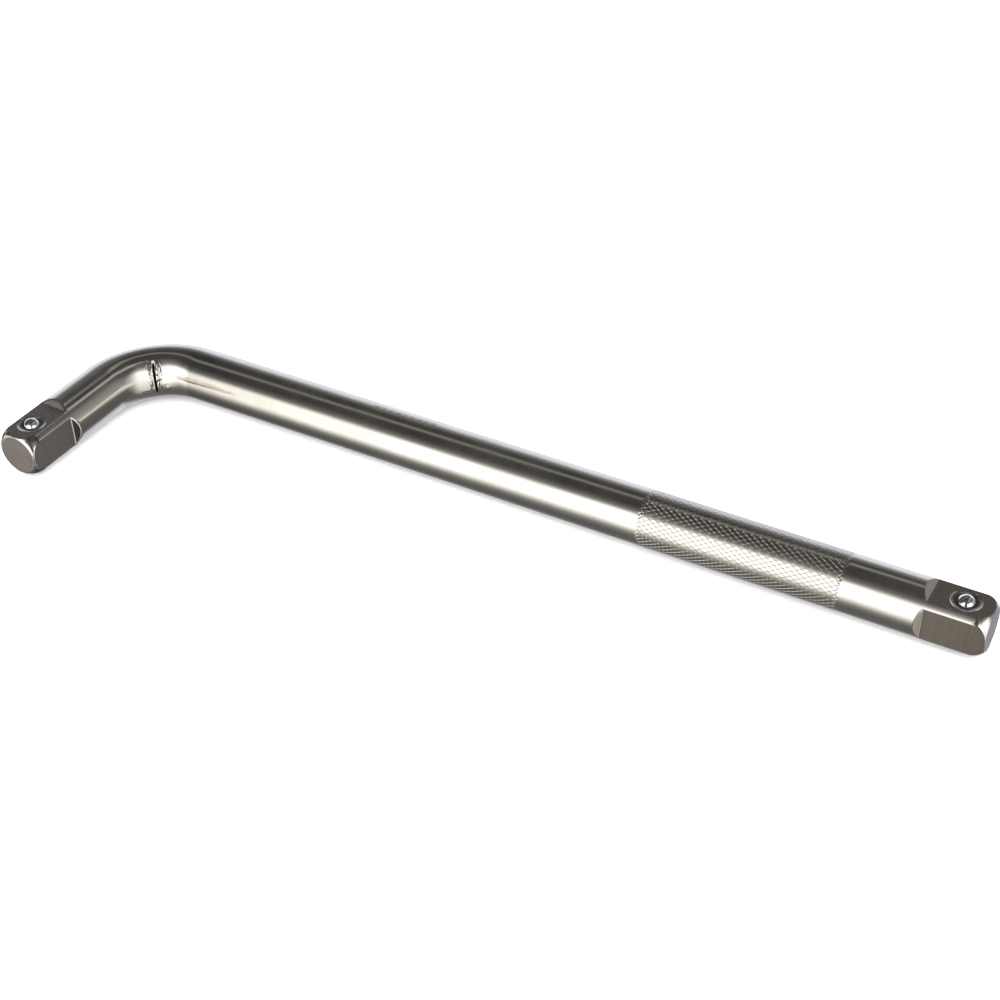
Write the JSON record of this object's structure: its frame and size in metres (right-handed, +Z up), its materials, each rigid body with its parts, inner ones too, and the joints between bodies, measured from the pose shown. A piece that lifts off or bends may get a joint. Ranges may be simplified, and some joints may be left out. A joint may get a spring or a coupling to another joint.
{
  "type": "breaker bar",
  "caption": "L-shaped breaker bar bent from one round bar, with a knurled grip and a male square with a sprung ball at each end.",
  "frame": {"origin": "on the ground under the middle of the handle's bounding box", "axes": "+X along the long leg towards its square, -Y along the short leg towards its square, +Z up, the side both balls face"},
  "size_m": [0.275, 0.067, 0.016],
  "materials": {
    "plated_bar": "dark nickel-chrome plating, polished on the round bar, milled satin on the squares",
    "polished_ball": "polished bearing steel",
    "spring_wire": "drawn spring wire"
  },
  "bodies": {
    "handle": {"bar": "plated_bar", "long_end_spring": "spring_wire", "short_end_spring": "spring_wire"},
    "long_ball": {"long_end_ball": "polished_ball"},
    "short_ball": {"short_end_ball": "polished_ball"}
  },
  "joints": [
    {"name": "long_ball_press", "type": "slide", "parent": "handle", "child": "long_ball", "axis": [0, 0, -1], "range_m": [0, 0.0016], "stiffness_N_per_m": 4200, "deforming": ["long_end_spring"]},
    {"name": "short_ball_press", "type": "slide", "parent": "handle", "child": "short_ball", "axis": [0, 0, -1], "range_m": [0, 0.0016], "stiffness_N_per_m": 4200, "deforming": ["short_end_spring"]}
  ]
}
